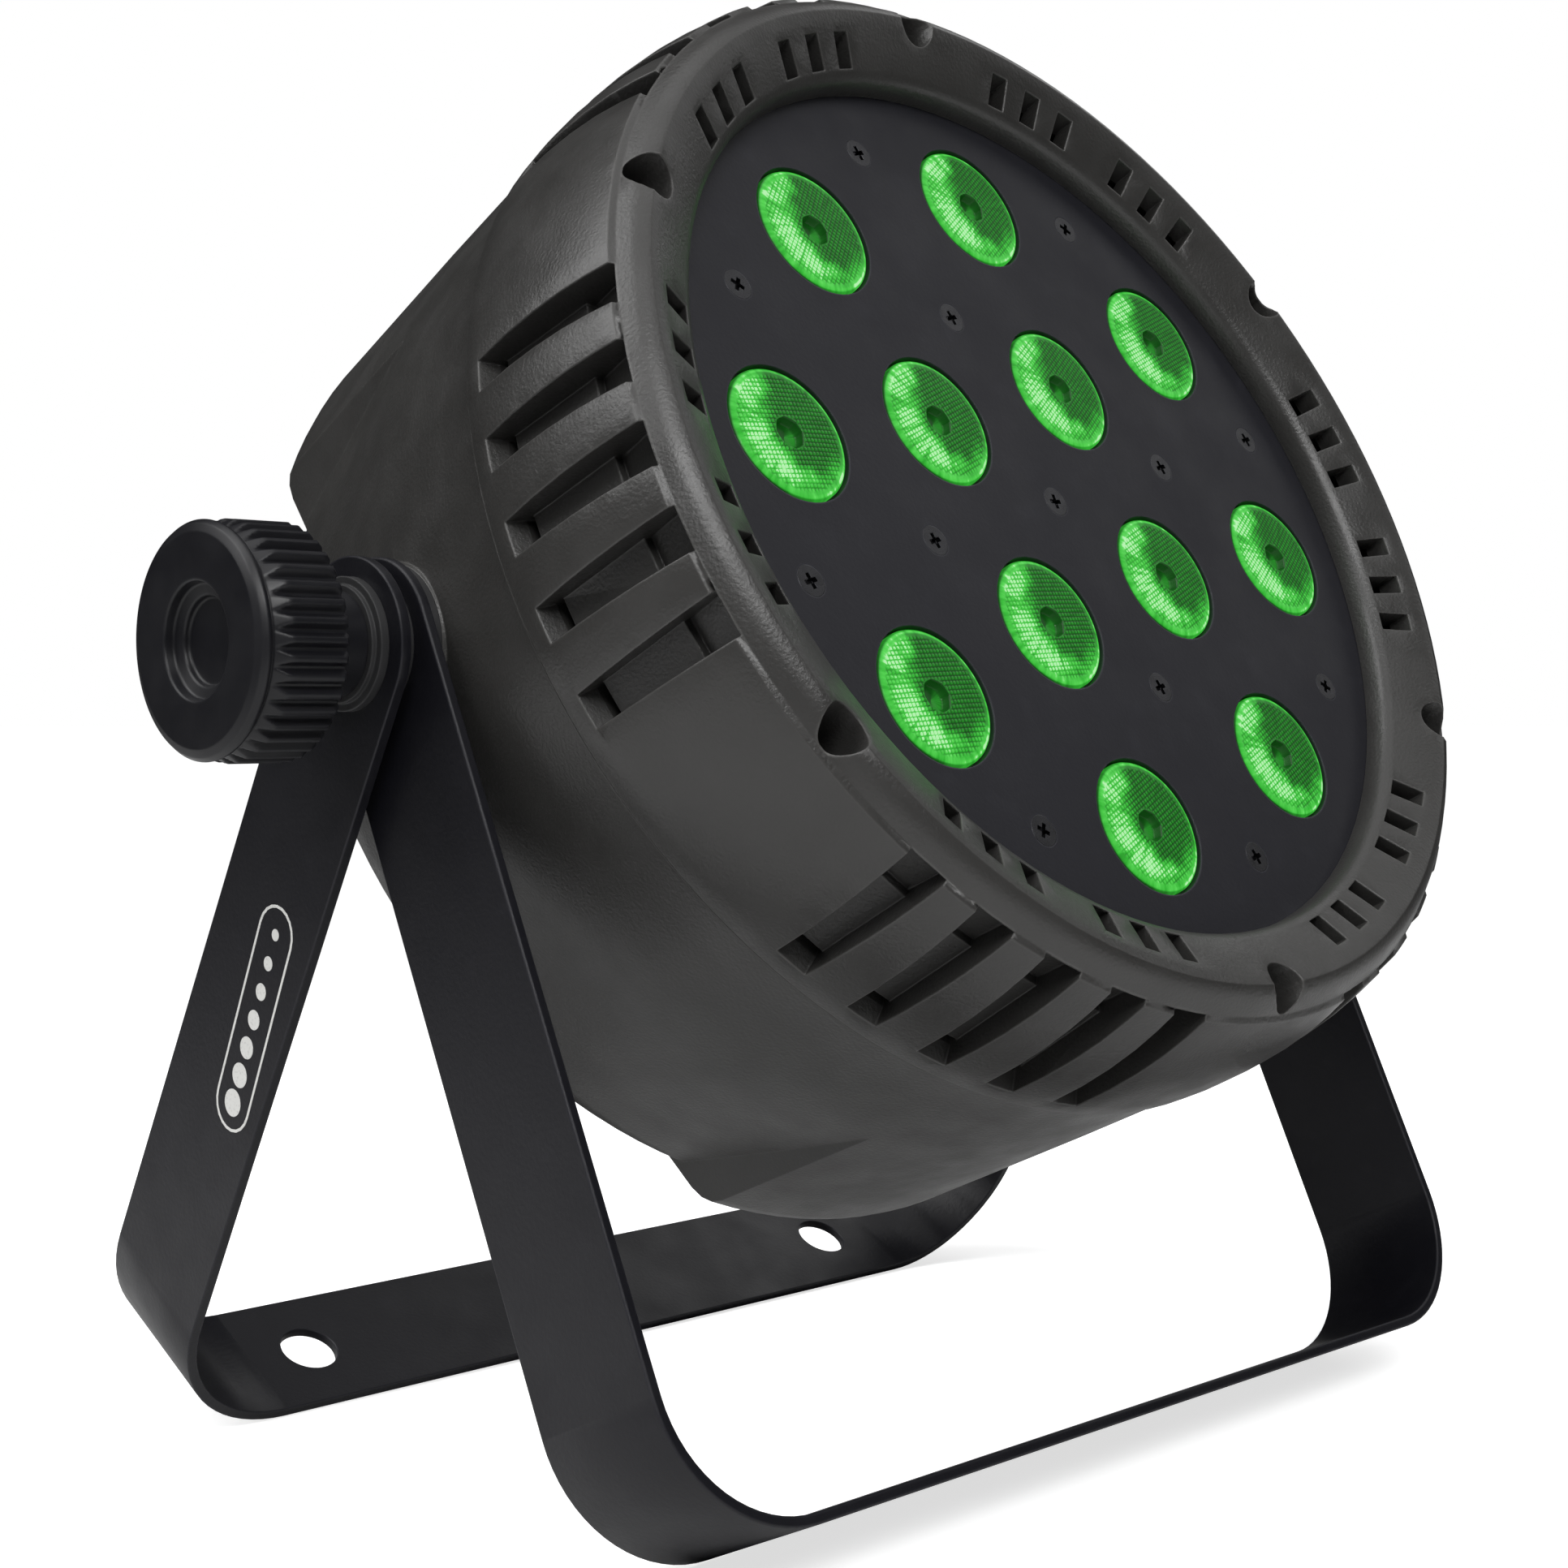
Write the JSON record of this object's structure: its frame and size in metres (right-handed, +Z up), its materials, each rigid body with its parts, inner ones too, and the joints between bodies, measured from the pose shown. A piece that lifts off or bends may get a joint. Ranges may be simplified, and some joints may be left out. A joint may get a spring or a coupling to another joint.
{
  "type": "par can light",
  "caption": "Round stage wash light on a double folding yoke: vented black housing, green lit lenses in a flat face, fluted clamping knobs and a rear panel with sockets.",
  "frame": {"origin": "on the floor, under the middle of the standing lamp's outline", "axes": "+X along the tilt axis to the lamp's own left as seen from behind, that is to the right of a viewer facing it; the lit face looks towards -Y and up; +Z up"},
  "size_m": [0.2978, 0.2043, 0.2794],
  "materials": {
    "yoke_coat": "satin powder coat on bent steel strap",
    "washer_nylon": "moulded nylon",
    "stud_steel": "zinc plated",
    "knob_plastic": "smooth moulded nylon",
    "insert_brass": "machined",
    "housing_plastic": "fine spark-eroded grain",
    "plate_coat": "matt powder coat",
    "black_screw": "black oxide",
    "zinc_steel": "zinc plated",
    "lens_green": "clear moulded lens, lit green from behind",
    "holder_black": "moulded",
    "board_white": "white solder mask",
    "emitter_phosphor": "potted emitter",
    "sink_aluminium": "die cast",
    "board_green": "green solder mask",
    "psu_mixed": "wound and moulded parts",
    "switch_steel": "stamped",
    "display_dark": "moulded",
    "window_red": "tinted window",
    "button_plastic": "moulded",
    "socket_plastic": "glass-filled nylon"
  },
  "bodies": {
    "front_yoke": {"front_yoke": "yoke_coat", "yoke_washers": "washer_nylon"},
    "rear_yoke": {"rear_yoke": "yoke_coat", "knob_washers": "washer_nylon"},
    "head": {"boss_washers": "washer_nylon", "pivot_inserts": "insert_brass", "front_housing": "housing_plastic", "rear_housing": "housing_plastic", "bezel_screws": "zinc_steel", "face_plate": "plate_coat", "face_screws": "black_screw", "lens_01": "lens_green", "lens_02": "lens_green", "lens_03": "lens_green", "lens_04": "lens_green", "lens_05": "lens_green", "lens_06": "lens_green", "lens_07": "lens_green", "lens_08": "lens_green", "lens_09": "lens_green", "lens_10": "lens_green", "lens_11": "lens_green", "lens_12": "lens_green", "lens_holders": "holder_black", "led_board": "board_white", "led_emitters": "emitter_phosphor", "plate_spacers": "zinc_steel", "heatsink": "sink_aluminium", "fan_frame": "holder_black", "fan_screws": "zinc_steel", "psu_board": "board_green", "psu_parts": "psu_mixed", "board_posts": "insert_brass", "board_screws": "zinc_steel", "rear_panel": "plate_coat", "rear_panel_screws": "black_screw", "control_board": "board_green", "display_block": "display_dark", "display_window": "window_red", "tact_switches": "switch_steel", "dmx_input": "socket_plastic", "dmx_output": "socket_plastic", "socket_screws": "black_screw", "power_inlet": "socket_plastic", "power_outlet": "socket_plastic", "fuse_holder": "socket_plastic", "safety_eye": "stud_steel"},
    "left_stud": {"left_stud": "stud_steel"},
    "left_knob": {"left_knob": "knob_plastic"},
    "right_stud": {"right_stud": "stud_steel"},
    "right_knob": {"right_knob": "knob_plastic"},
    "fan_rotor": {"fan_rotor": "holder_black"},
    "menu_button_1": {"menu_button_1": "button_plastic"},
    "menu_button_2": {"menu_button_2": "button_plastic"},
    "menu_button_3": {"menu_button_3": "button_plastic"},
    "menu_button_4": {"menu_button_4": "button_plastic"},
    "dmx_latch": {"dmx_latch": "zinc_steel"},
    "fuse_cap": {"fuse_cap": "button_plastic"}
  },
  "joints": [
    {"name": "head_tilt", "type": "hinge", "parent": "front_yoke", "child": "head", "pos_m": [0, 0.0079, 0.15316], "axis": [-1, 0, 0], "range_deg": [-116, 64]},
    {"name": "rear_yoke_swing", "type": "hinge", "parent": "front_yoke", "child": "rear_yoke", "pos_m": [0, 0.0079, 0.15316], "axis": [1, 0, 0], "range_deg": [-54, 120]},
    {"name": "left_stud_travel", "type": "slide", "parent": "head", "child": "left_stud", "axis": [-1, 0, 0], "range_m": [0, 0.00375]},
    {"name": "left_knob_turn", "type": "hinge", "parent": "left_stud", "child": "left_knob", "pos_m": [0, 0.0079, 0.15316], "axis": [-1, 0, 0], "range_deg": [0, 1080]},
    {"name": "right_stud_travel", "type": "slide", "parent": "head", "child": "right_stud", "axis": [1, 0, 0], "range_m": [0, 0.00375]},
    {"name": "right_knob_turn", "type": "hinge", "parent": "right_stud", "child": "right_knob", "pos_m": [0, 0.0079, 0.15316], "axis": [1, 0, 0], "range_deg": [0, 1080]},
    {"name": "fan_spin", "type": "hinge", "parent": "head", "child": "fan_rotor", "pos_m": [0, 0.0079, 0.15316], "axis": [0, 0.8988, -0.4384], "continuous": true},
    {"name": "menu_button_1_press", "type": "slide", "parent": "head", "child": "menu_button_1", "axis": [0, -0.8988, 0.4384], "range_m": [0, 0.0006], "stiffness_N_per_m": 600, "springref_m": -0.0002},
    {"name": "menu_button_2_press", "type": "slide", "parent": "head", "child": "menu_button_2", "axis": [0, -0.8988, 0.4384], "range_m": [0, 0.0006], "stiffness_N_per_m": 600, "springref_m": -0.0002},
    {"name": "menu_button_3_press", "type": "slide", "parent": "head", "child": "menu_button_3", "axis": [0, -0.8988, 0.4384], "range_m": [0, 0.0006], "stiffness_N_per_m": 600, "springref_m": -0.0002},
    {"name": "menu_button_4_press", "type": "slide", "parent": "head", "child": "menu_button_4", "axis": [0, -0.8988, 0.4384], "range_m": [0, 0.0006], "stiffness_N_per_m": 600, "springref_m": -0.0002},
    {"name": "dmx_latch_press", "type": "slide", "parent": "head", "child": "dmx_latch", "axis": [0, -0.8988, 0.4384], "range_m": [0, 0.0015], "stiffness_N_per_m": 500, "springref_m": -0.0003},
    {"name": "fuse_cap_turn", "type": "hinge", "parent": "head", "child": "fuse_cap", "pos_m": [0, 0.03958, 0.11546], "axis": [0, 0.8988, -0.4384], "range_deg": [0, 90]}
  ],
  "couplings": [
    {"joint": "left_stud_travel", "follows": "left_knob_turn", "m_per_rad": 0.00019894},
    {"joint": "right_stud_travel", "follows": "right_knob_turn", "m_per_rad": 0.00019894}
  ]
}
